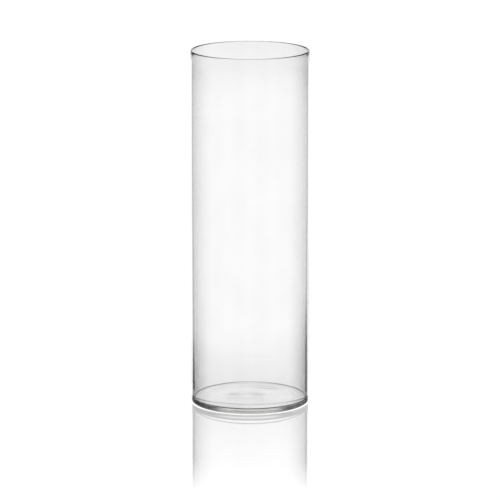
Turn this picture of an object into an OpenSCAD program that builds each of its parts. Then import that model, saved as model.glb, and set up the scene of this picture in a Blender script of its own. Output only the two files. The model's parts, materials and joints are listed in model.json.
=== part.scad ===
// Tall glass cylinder vase: one vessel of clear glass, straight-sided and open at the top.
// The glass has three worked zones, drawn as three solids that meet face to face:
// the heavy base, the wall, and the fire-polished rim.
// Millimetres. +Z is up, and the origin is the middle of the plane that the vase stands on.

/* [Vessel] */
// Height from the standing plane to the top of the rim
vase_height = 600; // [300:5:800]
// Outside diameter, the same from heel to rim
vase_diameter = 198; // [100:1:300]

/* [Wall] */
// Wall thickness in the upper part, where the bore is straight
upper_wall = 3.2; // [2.5:0.1:5]
// Wall thickness just above the base, where the glass has sagged a little thicker
lower_wall = 4.6; // [2.5:0.1:8]
// Length of the straight bore, measured down from the top of the rim
straight_bore = 170; // [40:5:200]

/* [Base] */
// Thickness of the floor where it meets the wall
floor_thickness = 7.4; // [5:0.1:14]
// How much higher the floor's upper face stands in the middle
floor_crown = 0.4; // [0.2:0.1:2.5]
// Radius of the rounded corner between floor and wall, inside
inner_corner_radius = 1.3; // [1:0.1:8]
// Radius of the rounded heel between wall and standing plane, outside
heel_radius = 3.5; // [2:0.1:5]
// Radius of the hollow under the base, as a share of the vase's radius
hollow_share = 0.76; // [0.5:0.01:0.85]
// Height of that hollow in the middle
hollow_height = 0.6; // [0.3:0.1:4]

/* [Rim] */
// Height of the zone that the flame softened
rim_height = 8; // [6:0.5:15]
// How far the melted bead stands out beyond the wall
rim_bead = 0.2; // [0.1:0.1:1]

/* [Hidden] */

$fn = 128;
// Straight steps in a quarter-round corner, and in a dome from its middle to its edge
corner_steps = 10;
dome_steps = 16;

outer_r = vase_diameter / 2;
upper_r = outer_r - upper_wall;
lower_r = outer_r - lower_wall;
// The base ends where its inner corner has turned upright, and the rim begins below the bead
base_top = floor_thickness + inner_corner_radius;
rim_bottom = vase_height - rim_height;
bore_bottom = vase_height - straight_bore;
bead_r = (upper_wall + rim_bead) / 2;
hollow_r = outer_r * hollow_share;
crown_r = lower_r - inner_corner_radius;

// Points of a round corner, from one angle to another
function corner(centre, r, from, to) = [
    for (i = [0:corner_steps])
        let (angle = from + (to - from) * i / corner_steps)
        centre + r * [cos(angle), sin(angle)]
];

// Points of a shallow dome that stands on a level, from its middle out to its edge
function dome(half_width, height, level) = [
    for (i = [0:dome_steps])
        let (share = i / dome_steps)
        [half_width * share, level + height * (1 - share * share)]
];

// The same points in the opposite order
function backwards(points) = [for (i = [len(points) - 1:-1:0]) points[i]];

// Heavy base: floor, rounded heel, standing ring and the shallow hollow inside that ring
module base() {
    color("lightcyan", 0.5)
    rotate_extrude()
    polygon(concat(
        dome(hollow_r, hollow_height, 0),
        corner([outer_r - heel_radius, heel_radius], heel_radius, -90, 0),
        [[outer_r, base_top]],
        corner([crown_r, base_top], inner_corner_radius, 0, -90),
        backwards(dome(crown_r, floor_crown, floor_thickness))
    ));
}

// Wall: a true cylinder outside, inside a straight bore that narrows towards the base
module wall() {
    color("azure", 0.35)
    rotate_extrude()
    polygon([
        [outer_r, base_top],
        [outer_r, rim_bottom],
        [upper_r, rim_bottom],
        [upper_r, bore_bottom],
        [lower_r, base_top]
    ]);
}

// Fire-polished lip: flush with the bore inside, swelling to a round bead outside
module rim() {
    bead_z = vase_height - bead_r;
    color("white", 0.5)
    rotate_extrude()
    union() {
        translate([upper_r + bead_r, bead_z]) circle(r = bead_r);
        polygon([
            [upper_r, rim_bottom],
            [outer_r, rim_bottom],
            [outer_r + rim_bead, bead_z],
            [upper_r, bead_z]
        ]);
    }
}

base();
wall();
rim();
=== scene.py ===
"""Looks of the tall glass cylinder vase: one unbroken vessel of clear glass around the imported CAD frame."""
import json
import math

import bmesh
import bpy
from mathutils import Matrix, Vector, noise


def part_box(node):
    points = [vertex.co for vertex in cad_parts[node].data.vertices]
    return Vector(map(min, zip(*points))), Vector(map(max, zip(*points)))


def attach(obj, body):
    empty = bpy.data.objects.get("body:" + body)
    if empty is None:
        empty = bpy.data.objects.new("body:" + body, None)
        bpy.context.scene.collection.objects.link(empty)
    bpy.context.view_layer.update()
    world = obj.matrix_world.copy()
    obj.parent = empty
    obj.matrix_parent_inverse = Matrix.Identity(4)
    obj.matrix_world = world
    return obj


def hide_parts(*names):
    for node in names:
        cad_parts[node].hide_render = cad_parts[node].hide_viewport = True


MM = 0.001

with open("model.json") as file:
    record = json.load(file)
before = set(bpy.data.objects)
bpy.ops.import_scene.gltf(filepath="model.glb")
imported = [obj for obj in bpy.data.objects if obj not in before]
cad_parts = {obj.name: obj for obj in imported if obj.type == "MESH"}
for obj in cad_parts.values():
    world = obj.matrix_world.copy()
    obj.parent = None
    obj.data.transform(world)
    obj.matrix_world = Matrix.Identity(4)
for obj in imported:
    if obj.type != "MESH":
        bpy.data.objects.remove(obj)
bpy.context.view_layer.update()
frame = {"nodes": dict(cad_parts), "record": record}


# ---------------------------------------------------------------- sizes, all read from the frame

def radius_of(vertex):
    return math.hypot(vertex.co.x, vertex.co.y)


def corners_of(node):
    """Radius and height of every corner of a CAD node."""
    return [(radius_of(vertex), vertex.co.z) for vertex in frame["nodes"][node].data.vertices]


NEAR = 0.01 * MM
MOUTH = next(mount for mount in frame["record"]["mounts"] if mount["name"] == "mouth")

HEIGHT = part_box("rim")[1].z
OUTER_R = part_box("wall")[1].x
BORE_R = MOUTH["dims"]["r_mm"] * MM
BASE_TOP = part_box("base")[1].z
RIM_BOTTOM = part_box("rim")[0].z

# the bore is straight down to STRAIGHT_TO, then narrows to FOOT_R where the base begins
STRAIGHT_TO = min(z for r, z in corners_of("wall") if abs(r - BORE_R) < NEAR)
FOOT_R = min(r for r, z in corners_of("wall"))
BEAD_R = HEIGHT - max(z for r, z in corners_of("rim") if abs(r - BORE_R) < NEAR)

# floor, underside and standing ring
HOLLOW_MIDDLE = min(z for r, z in corners_of("base") if r < NEAR)
FLOOR_MIDDLE = max(z for r, z in corners_of("base") if r < NEAR)
FLOOR_EDGE = min(z for r, z in corners_of("base") if z > BASE_TOP / 2 and r < FOOT_R)
CORNER_R = BASE_TOP - FLOOR_EDGE
FLOOR_R = FOOT_R - CORNER_R
HOLLOW_R = min(r for r, z in corners_of("base") if z < NEAR)
HEEL_R = OUTER_R - max(r for r, z in corners_of("base") if z < NEAR)

# ---------------------------------------------------------------- camera

CAMERA_BACK = 6.05
CAMERA_UP = 1.559
CAMERA_PITCH = math.radians(12.12)
LENS_MM = 265
SENSOR_MM = 36
CLIP_END = 200


def make_camera():
    """A long lens in front of the vase, looking down a little."""
    data = bpy.data.cameras.new("camera")
    data.sensor_width = SENSOR_MM
    data.lens = LENS_MM
    data.clip_end = CLIP_END
    camera = bpy.data.objects.new("camera", data)
    camera.location = (0, -CAMERA_BACK, CAMERA_UP)
    camera.rotation_euler = (math.pi / 2 - CAMERA_PITCH, 0, 0)
    bpy.context.scene.collection.objects.link(camera)
    bpy.context.scene.camera = camera


# ---------------------------------------------------------------- the vessel's mesh

AROUND = 360
UNDERSIDE_STEPS = 110
HEEL_STEPS = 12
WALL_STEPS = 24
LIP_STEPS = 18
CORNER_STEPS = 12
FLOOR_STEPS = 30

# the underside's zone ends on the standing ring, a little outside the hollow
UNDERSIDE_R = HOLLOW_R * 1.08

# each dimple is ((x, y), height, half width); each mould ring is (radius, height, half width)
DIMPLES = [((10 * MM, 0.0), 0.35 * MM, 18 * MM), ((-28 * MM, 2 * MM), 0.3 * MM, 16 * MM)]
RINGS = [(62 * MM, 0.05 * MM, 1.5 * MM), (75 * MM, 0.10 * MM, 1.2 * MM)]
RING_PATCHES_PER_M = 18
RING_UNEVENNESS = 1.2

# slow waves: those of the wall die out over WAVE_FADE towards rim and base
WAVE_INSIDE = 0.2 * MM
WAVE_OUTSIDE = 0.05 * MM
WAVES_PER_M = (11, 11, 5)
WAVE_FADE = 60 * MM
FLOOR_WAVE = 0.08 * MM
FLOOR_WAVES_PER_M = 35

# a fine ridge inside the near half of the wall, highest at the front and lower towards the sides
RIDGE_UP = 7.5 * MM
RIDGE_DEPTH = 0.45 * MM
RIDGE_HALF_WIDTH = 0.8 * MM
RIDGE_ENDS = 0.3
RIDGE_ZONE = 12 * MM
RIDGE_STEPS = 30

# where each set of waves or patches is cut through the noise, so that no two are alike
OUTSIDE_LAYER = 0
FLOOR_LAYER = 2
RING_LAYER = 4
INSIDE_LAYER = 9


def arc(centre, radius, start, end, steps):
    """Points of a round corner in the (r, z) plane; angles in degrees."""
    found = []
    for i in range(steps + 1):
        angle = math.radians(start + (end - start) * i / steps)
        found.append((centre[0] + radius * math.cos(angle), centre[1] + radius * math.sin(angle)))
    return found


def dome(half_width, middle, edge, steps):
    """Points of a shallow dome, from its middle out to its edge."""
    found = []
    for i in range(steps + 1):
        share = i / steps
        found.append((half_width * share, edge + (middle - edge) * (1 - share ** 2)))
    return found


def bore_radius(z):
    """Straight at the top, then narrowing evenly towards the foot."""
    share = min(1, max(0, (STRAIGHT_TO - z) / (STRAIGHT_TO - BASE_TOP)))
    return BORE_R + (FOOT_R - BORE_R) * share


def bell(away, height, half_width):
    """A smooth bump: full height in its middle, nearly nothing two half widths away."""
    return height * math.exp(-(away / half_width) ** 2)


def underside_height(x, y):
    """The shallow hollow, with two soft dimples and two faint, uneven rings left by the mould."""
    r = math.hypot(x, y)
    z = HOLLOW_MIDDLE * max(0, 1 - (r / HOLLOW_R) ** 2)
    for (dimple_x, dimple_y), height, half_width in DIMPLES:
        z += bell(math.hypot(x - dimple_x, y - dimple_y), height, half_width)
    patches = noise.noise((x * RING_PATCHES_PER_M, y * RING_PATCHES_PER_M, RING_LAYER))
    strength = max(0, 1 + RING_UNEVENNESS * patches)
    for ring_r, height, half_width in RINGS:
        z += bell(r - ring_r, height * strength, half_width)
    return z


# Each rule below takes a point of the section and an angle round the axis, and gives the point's place.

def as_drawn(r, angle, z):
    return r * math.cos(angle), r * math.sin(angle), z


def on_underside(r, angle, z):
    x, y, z = as_drawn(r, angle, z)
    return x, y, underside_height(x, y)


def on_floor(r, angle, z):
    """The floor and its corner, pressed a little unevenly; the waves die out at the wall."""
    x, y, z = as_drawn(r, angle, z)
    fade = min(1, (FOOT_R - r) / CORNER_R)
    wave = noise.noise((x * FLOOR_WAVES_PER_M, y * FLOOR_WAVES_PER_M, FLOOR_LAYER))
    return x, y, z + FLOOR_WAVE * fade * wave


def wavy(depth, layer):
    """A wall surface with the slow, shallow waves of worked glass."""
    def place(r, angle, z):
        fade = min(1, (z - BASE_TOP) / WAVE_FADE, (RIM_BOTTOM - z) / WAVE_FADE)
        across = (WAVES_PER_M[0] * r * math.cos(angle), WAVES_PER_M[1] * r * math.sin(angle))
        wave = noise.noise((*across, WAVES_PER_M[2] * z + layer))
        return as_drawn(r + depth * max(0, fade) * wave, angle, z)
    return place


def ridged(place):
    """The same surface with the ridge standing proud of it, towards the axis."""
    def place_with_ridge(r, angle, z):
        nearness = max(0, -math.sin(angle))
        depth = RIDGE_DEPTH * min(1, nearness / RIDGE_ENDS)
        ridge_z = BASE_TOP + RIDGE_UP * nearness
        return place(r - bell(z - ridge_z, depth, RIDGE_HALF_WIDTH), angle, z)
    return place_with_ridge


def zones():
    """The glass's section in order: underside, heel, outside, lip, bore, inner corner, floor.

    Each zone is its (r, z) points and the rule that places them round the axis."""
    underside = [(UNDERSIDE_R * i / UNDERSIDE_STEPS, 0) for i in range(UNDERSIDE_STEPS + 1)]
    heel = arc((OUTER_R - HEEL_R, HEEL_R), HEEL_R, -90, 0, HEEL_STEPS)
    outside_height = RIM_BOTTOM - HEEL_R
    outside = [(OUTER_R, HEEL_R + outside_height * i / WALL_STEPS) for i in range(1, WALL_STEPS + 1)]
    bead = (BORE_R + BEAD_R, HEIGHT - BEAD_R)
    lip = arc(bead, BEAD_R, 0, 180, LIP_STEPS)
    ridge_top = BASE_TOP + RIDGE_ZONE
    heights = [bead[1] + (ridge_top - bead[1]) * i / WALL_STEPS for i in range(1, WALL_STEPS)]
    heights += [ridge_top - RIDGE_ZONE * i / RIDGE_STEPS for i in range(RIDGE_STEPS)]
    bore = [(bore_radius(z), z) for z in heights]
    corner = arc((FLOOR_R, BASE_TOP), CORNER_R, 0, -90, CORNER_STEPS)
    floor_inwards = dome(FLOOR_R, FLOOR_MIDDLE, FLOOR_EDGE, FLOOR_STEPS)[-2::-1]
    return [
        (underside, on_underside),
        (heel, as_drawn),
        (outside, wavy(WAVE_OUTSIDE, OUTSIDE_LAYER)),
        (lip, as_drawn),
        (bore, ridged(wavy(WAVE_INSIDE, INSIDE_LAYER))),
        (corner, on_floor),
        (floor_inwards, on_floor),
    ]


def make_vessel():
    """Turns the section round the axis into one closed mesh."""
    mesh = bmesh.new()
    turns = [2 * math.pi * i / AROUND for i in range(AROUND)]
    rings = []
    for points, place in zones():
        for r, z in points:
            if r < NEAR:
                rings.append([mesh.verts.new(place(0, 0, z))])
            else:
                rings.append([mesh.verts.new(place(r, angle, z)) for angle in turns])
    for lower, upper in zip(rings, rings[1:]):
        for i in range(AROUND):
            k = (i + 1) % AROUND
            if len(lower) == 1:
                mesh.faces.new((lower[0], upper[k], upper[i]))
            elif len(upper) == 1:
                mesh.faces.new((lower[i], lower[k], upper[0]))
            else:
                mesh.faces.new((lower[i], lower[k], upper[k], upper[i]))
    for face in mesh.faces:
        face.smooth = True
    bmesh.ops.recalc_face_normals(mesh, faces=mesh.faces)
    data = bpy.data.meshes.new("vase_glass")
    mesh.to_mesh(data)
    mesh.free()
    vessel = bpy.data.objects.new("vase_glass", data)
    bpy.context.scene.collection.objects.link(vessel)
    return vessel


# ---------------------------------------------------------------- node helpers

class Sums:
    """Writes arithmetic as math nodes."""

    def __init__(self, tree):
        self.tree = tree

    def feed(self, socket, value):
        if isinstance(value, (int, float)):
            socket.default_value = value
        else:
            self.tree.links.new(value, socket)

    def node(self, operation, *values):
        made = self.tree.nodes.new("ShaderNodeMath")
        made.operation = operation
        for socket, value in zip(made.inputs, values):
            self.feed(socket, value)
        return made.outputs[0]

    def times(self, first, *others):
        for other in others:
            first = self.node("MULTIPLY", first, other)
        return first

    def ramp(self, value, start, end, low, high, kind="SMOOTHSTEP"):
        """low before start, high after end, eased in between."""
        made = self.tree.nodes.new("ShaderNodeMapRange")
        made.interpolation_type = kind
        given = {"Value": value, "From Min": start, "From Max": end, "To Min": low, "To Max": high}
        for name, number in given.items():
            self.feed(made.inputs[name], number)
        return made.outputs[0]

    def blend(self, share, first, second):
        """first where share is 0, second where it is 1."""
        return self.node("MULTIPLY_ADD", share, self.node("SUBTRACT", second, first), first)


def xyz_of(tree, vector):
    made = tree.nodes.new("ShaderNodeSeparateXYZ")
    tree.links.new(vector, made.inputs[0])
    return made.outputs


def noise_of(tree, vector, scale, detail):
    made = tree.nodes.new("ShaderNodeTexNoise")
    made.inputs["Scale"].default_value = scale
    made.inputs["Detail"].default_value = detail
    tree.links.new(vector, made.inputs["Vector"])
    return made.outputs["Fac"]


def distance(tree, vector, point):
    made = tree.nodes.new("ShaderNodeVectorMath")
    made.operation = "DISTANCE"
    made.inputs[1].default_value = point
    tree.links.new(vector, made.inputs[0])
    return made.outputs["Value"]


# ---------------------------------------------------------------- glass

GLASS_IOR = 1.52
BODY_TINT = (0.10, 0.14, 0.08, 1)
BODY_TINT_DENSITY = 2.2

# A tone is what the surface lets through: 1 is perfectly clear. Heights and distances are in metres.
# Painted shade darkens the foot, most just above the base; it starts above the base, which is clear itself,
# and ends at the height below.
BASE_TONE = 1.0
FOOT_TONE = 0.9
FOOT_SHADE_TOP = 0.12

# painted shade round the mouth, light on its near side and darker towards its far side
LIP_TONE_NEAR = 0.985
LIP_TONE_FAR = 0.88
LIP_SHADE_DEPTH = 0.1
LIP_SHADE_FROM = -0.04
LIP_SHADE_TO = 0.09
LIP_SHADE_SKEW = 0.4

# soft clouds all over
CLOUD_SCALE = 14
CLOUD_DETAIL = 3
CLOUD_EDGES = (0.35, 0.65)
CLOUD_TONES = (0.972, 0.99)

# a painted dark line, painted shade, in the inner corner, from its near half to its far half
CORNER_SHADE_NEAR = 0.01
CORNER_SHADE_FAR = 1.0
CORNER_SHADE_FROM = -0.04
CORNER_SHADE_TO = 0.03

# each smear is (x, y, half width) on the underside
SMEARS = [(13 * MM, 12 * MM, 15 * MM), (-25 * MM, 13 * MM, 14 * MM)]
SMEAR_TONE = 0.72
SMEAR_REACH = 1.6

# what lies lower than the first of these heights is the underside, which ends at the second
UNDERSIDE_EDGES = (1.2 * MM, 2.2 * MM)
SCUFF_SCALE = 260
SCUFF_DETAIL = 2
SCUFF_EDGES = (0.4, 0.7)
SCUFF_ROUGHNESS = (0.03, 0.12)


def painted_shade_and_clouds(sums, x, y, z, clouds):
    """Faint clouds of tone all over, with painted shade towards the thick foot and on the far side of the
    mouth.
    """
    foot = sums.ramp(z, 0.0, FOOT_SHADE_TOP, FOOT_TONE, 1.0)
    foot = sums.node("MAXIMUM", foot, sums.ramp(z, BASE_TOP, BASE_TOP + 1.0 * MM, BASE_TONE, 0.0))
    far_side = sums.node("MULTIPLY_ADD", x, LIP_SHADE_SKEW, y)
    lip_tone = sums.ramp(far_side, LIP_SHADE_FROM, LIP_SHADE_TO, LIP_TONE_NEAR, LIP_TONE_FAR)
    lip = sums.ramp(z, HEIGHT - LIP_SHADE_DEPTH, HEIGHT, 1.0, lip_tone)
    return sums.times(foot, lip, sums.ramp(clouds, *CLOUD_EDGES, *CLOUD_TONES))


def painted_corner_line(sums, y, z, r):
    """A thin painted dark line, painted shade, in the near half of the inner corner."""
    corner = sums.times(sums.ramp(z, FLOOR_EDGE, FLOOR_EDGE + 0.3 * MM, 0.0, 1.0),
                        sums.ramp(z, BASE_TOP + 1.0 * MM, BASE_TOP + 1.8 * MM, 1.0, 0.0),
                        sums.ramp(r, FLOOR_R - 0.5 * MM, FLOOR_R, 0.0, 1.0),
                        sums.ramp(r, FOOT_R + 0.5 * MM, FOOT_R + 1.0 * MM, 1.0, 0.0))
    dark_line = sums.ramp(y, CORNER_SHADE_FROM, CORNER_SHADE_TO, CORNER_SHADE_NEAR, CORNER_SHADE_FAR)
    return sums.blend(corner, 1.0, dark_line)


def smear_tone(tree, sums, flat, underside):
    """Soft smears on the underside."""
    tones = []
    for smear_x, smear_y, half_width in SMEARS:
        away = distance(tree, flat, (smear_x, smear_y, 0))
        smear = sums.times(underside, sums.ramp(away, 0.0, half_width * SMEAR_REACH, 1.0, 0.0))
        tones.append(sums.blend(smear, 1.0, SMEAR_TONE))
    return sums.times(*tones)


def glass_material():
    """Clear glass: painted shade at its foot, mouth and inner corner, clouds and smears on its surface, satin
    scuffs underneath, a faint tint inside.
    """
    material = bpy.data.materials.new("clear_glass")
    material.use_nodes = True
    tree = material.node_tree
    tree.nodes.clear()
    sums = Sums(tree)
    glass = tree.nodes.new("ShaderNodeBsdfPrincipled")
    glass.inputs["IOR"].default_value = GLASS_IOR
    glass.inputs["Transmission Weight"].default_value = 1.0

    # flat is the same place with its height left out
    where = tree.nodes.new("ShaderNodeTexCoord").outputs["Object"]
    flatten = tree.nodes.new("ShaderNodeVectorMath")
    flatten.operation = "MULTIPLY"
    flatten.inputs[1].default_value = (1, 1, 0)
    tree.links.new(where, flatten.inputs[0])
    flat = flatten.outputs[0]
    x, y, z = xyz_of(tree, where)
    underside = sums.ramp(z, *UNDERSIDE_EDGES, 1.0, 0.0)

    clouds = noise_of(tree, where, CLOUD_SCALE, CLOUD_DETAIL)
    # the tone holds painted shade at the foot, the mouth and the inner corner, with faint clouds and smears
    tone = sums.times(painted_shade_and_clouds(sums, x, y, z, clouds),
                      painted_corner_line(sums, y, z, distance(tree, flat, (0, 0, 0))),
                      smear_tone(tree, sums, flat, underside))
    colour = tree.nodes.new("ShaderNodeCombineColor")
    for name in ("Red", "Green", "Blue"):
        tree.links.new(tone, colour.inputs[name])
    tree.links.new(colour.outputs[0], glass.inputs["Base Color"])

    grain = noise_of(tree, where, SCUFF_SCALE, SCUFF_DETAIL)
    scuffs = sums.times(underside, sums.ramp(grain, *SCUFF_EDGES, *SCUFF_ROUGHNESS))
    tree.links.new(scuffs, glass.inputs["Roughness"])

    tint = tree.nodes.new("ShaderNodeVolumeAbsorption")
    tint.inputs["Color"].default_value = BODY_TINT
    tint.inputs["Density"].default_value = BODY_TINT_DENSITY
    out = tree.nodes.new("ShaderNodeOutputMaterial")
    tree.links.new(glass.outputs["BSDF"], out.inputs["Surface"])
    tree.links.new(tint.outputs["Volume"], out.inputs["Volume"])
    return material


# ---------------------------------------------------------------- light

# Angles are in degrees: down is below the horizon, and aside is to either side of straight behind the
# vase. A pair of angles is where a change starts and ends. A pair marked (left, right) is one angle for
# each half of the room, and they are blended where the direction's x is less than MIDDLE from 0.
MIDDLE = 0.1

# the bright backdrop behind the vase reaches less far aside where it is as steep as the flags
BACKDROP_LEVEL = 1.04
BACKDROP_FULL = 15
BACKDROP_END = 36
BACKDROP_END_AT_FLAGS = (24, 27)  # (left, right)

# the sides are half-lit in a strip below SIDE_FULL_DOWN and dimmer above it; steeper ones are dark flags
SIDE_LEVEL = 0.42
SIDE_SHARE_ABOVE = 0.25
SIDE_FULL_DOWN = (8.6, 10.2)
FLAG_LEVEL = 0.0
FLAG_START = (14.05, 13.45)  # (left, right)
FLAG_EDGE = 0.35
BACKDROP_EDGE = 0.6

# the pale tent behind the camera, with soft upright ribs
TENT_LEVEL = 0.8
TENT_RIBS = 0.04
TENT_ASIDE = (58, 105)
RIB_COUNT = 8

# the part that is steeper than STEEP, below and above the horizon
STEEP = (16, 20)
LOWER_LEVEL = 0.68
LOWER_RIBS = 0.13
UPPER_LEVEL_BEHIND = 0.0
UPPER_LEVEL_ASIDE = 0.85
UPPER_BRIGHT_ASIDE = (34, 70)  # (left, right)
UPPER_EDGE = 8
HORIZON_EDGE = 2

# two dark cards low down behind the vase, and the pale ground straight below
CARD_LEVEL = 0.1
CARD_START = (6, 11)
CARD_END = (30, 36)
GROUND_LEVEL = 0.95
GROUND_DOWN = (50, 75)


def make_world():
    """A bright backdrop behind the vase, half-lit sides between dark flags, and a pale tent around it all."""
    world = bpy.data.worlds.new("studio")
    bpy.context.scene.world = world
    world.use_nodes = True
    tree = world.node_tree
    tree.nodes.clear()
    sums = Sums(tree)
    x, y, z = xyz_of(tree, tree.nodes.new("ShaderNodeTexCoord").outputs["Generated"])
    heading = sums.node("ARCTAN2", x, y)
    aside = sums.node("ABSOLUTE", sums.node("DEGREES", heading))
    tilt = sums.node("DEGREES", sums.node("ARCSINE", z))
    steepness = sums.node("ABSOLUTE", tilt)
    down = sums.times(tilt, -1)
    ribs = sums.node("COSINE", sums.times(heading, RIB_COUNT))

    past_flag = sums.node("SUBTRACT", steepness, sums.ramp(x, -MIDDLE, MIDDLE, *FLAG_START))
    end_at_flags = sums.ramp(x, -MIDDLE, MIDDLE, *BACKDROP_END_AT_FLAGS)
    backdrop_end = sums.ramp(past_flag, -BACKDROP_EDGE, BACKDROP_EDGE, BACKDROP_END, end_at_flags)
    backdrop = sums.ramp(aside, BACKDROP_FULL, backdrop_end, BACKDROP_LEVEL, 0.0)
    strip = sums.times(sums.ramp(down, *SIDE_FULL_DOWN, SIDE_SHARE_ABOVE, 1.0),
                       sums.ramp(past_flag, -FLAG_EDGE, FLAG_EDGE, 1.0, 0.0))
    side = sums.blend(strip, FLAG_LEVEL, SIDE_LEVEL)
    tent = sums.node("MULTIPLY_ADD", ribs, TENT_RIBS, TENT_LEVEL)
    level = sums.node("MAXIMUM", backdrop, sums.ramp(aside, *TENT_ASIDE, side, tent))

    card = sums.times(sums.ramp(aside, *CARD_START, 0.0, 1.0), sums.ramp(aside, *CARD_END, 1.0, 0.0))
    lower = sums.node("MULTIPLY_ADD", ribs, LOWER_RIBS, LOWER_LEVEL)
    lower = sums.blend(card, lower, CARD_LEVEL)
    bright_start = sums.ramp(x, -MIDDLE, MIDDLE, *UPPER_BRIGHT_ASIDE)
    bright_end = sums.node("ADD", bright_start, UPPER_EDGE)
    upper = sums.ramp(aside, bright_start, bright_end, UPPER_LEVEL_BEHIND, UPPER_LEVEL_ASIDE)
    above = sums.ramp(tilt, -HORIZON_EDGE, HORIZON_EDGE, 0.0, 1.0)
    level = sums.blend(sums.ramp(steepness, *STEEP, 0.0, 1.0), level, sums.blend(above, lower, upper))
    level = sums.blend(sums.ramp(down, *GROUND_DOWN, 0.0, 1.0), level, GROUND_LEVEL)

    light = tree.nodes.new("ShaderNodeBackground")
    light.inputs["Color"].default_value = (1, 1, 1, 1)
    tree.links.new(level, light.inputs["Strength"])
    out = tree.nodes.new("ShaderNodeOutputWorld")
    tree.links.new(light.outputs[0], out.inputs["Surface"])


# ---------------------------------------------------------------- floor

FLOOR_SIZE = 0.8
FLOOR_SIDES = 96
FLOOR_GAP = 0.6 * MM
GLOSS_FADE = (0.36, 0.62)
GLOSS_SHARE = (0.1, 0.7)
GLOSS_ROUGHNESS = 0.03


def floor_material():
    """Clear, with a mirror gloss that starts at the vase's outline and fades out round it."""
    material = bpy.data.materials.new("floor")
    material.use_nodes = True
    tree = material.node_tree
    tree.nodes.clear()
    sums = Sums(tree)
    away = distance(tree, tree.nodes.new("ShaderNodeTexCoord").outputs["Object"], (0, 0, 0))
    fade = sums.times(sums.ramp(away, *GLOSS_FADE, 1.0, 0.0),
                      sums.ramp(away, OUTER_R, OUTER_R + 4 * MM, 0.0, 1.0))
    grazing = tree.nodes.new("ShaderNodeLayerWeight")
    grazing.inputs["Blend"].default_value = 0.5
    share = sums.times(fade, sums.ramp(grazing.outputs["Facing"], 0.0, 1.0, *GLOSS_SHARE, "LINEAR"))
    gloss = tree.nodes.new("ShaderNodeBsdfGlossy")
    gloss.inputs["Color"].default_value = (1, 1, 1, 1)
    gloss.inputs["Roughness"].default_value = GLOSS_ROUGHNESS
    clear = tree.nodes.new("ShaderNodeBsdfTransparent")
    mix = tree.nodes.new("ShaderNodeMixShader")
    tree.links.new(share, mix.inputs[0])
    tree.links.new(clear.outputs[0], mix.inputs[1])
    tree.links.new(gloss.outputs[0], mix.inputs[2])
    out = tree.nodes.new("ShaderNodeOutputMaterial")
    tree.links.new(mix.outputs[0], out.inputs["Surface"])
    return material


def make_floor():
    """A plain round floor, a hair below the vase."""
    mesh = bmesh.new()
    bmesh.ops.create_circle(mesh, cap_ends=True, segments=FLOOR_SIDES, radius=FLOOR_SIZE)
    data = bpy.data.meshes.new("floor")
    mesh.to_mesh(data)
    mesh.free()
    data.materials.append(floor_material())
    floor = bpy.data.objects.new("floor", data)
    floor.location.z = -FLOOR_GAP
    bpy.context.scene.collection.objects.link(floor)


# ---------------------------------------------------------------- make it

BOUNCES = 32
GLOSSY_BOUNCES = 16

make_camera()
make_world()
make_floor()

vessel = make_vessel()
vessel.data.materials.append(glass_material())
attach(vessel, "root")
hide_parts("base", "wall", "rim")

scene = bpy.context.scene
scene.view_settings.view_transform = "Standard"
scene.cycles.max_bounces = BOUNCES
scene.cycles.transmission_bounces = BOUNCES
scene.cycles.transparent_max_bounces = BOUNCES
scene.cycles.glossy_bounces = GLOSSY_BOUNCES
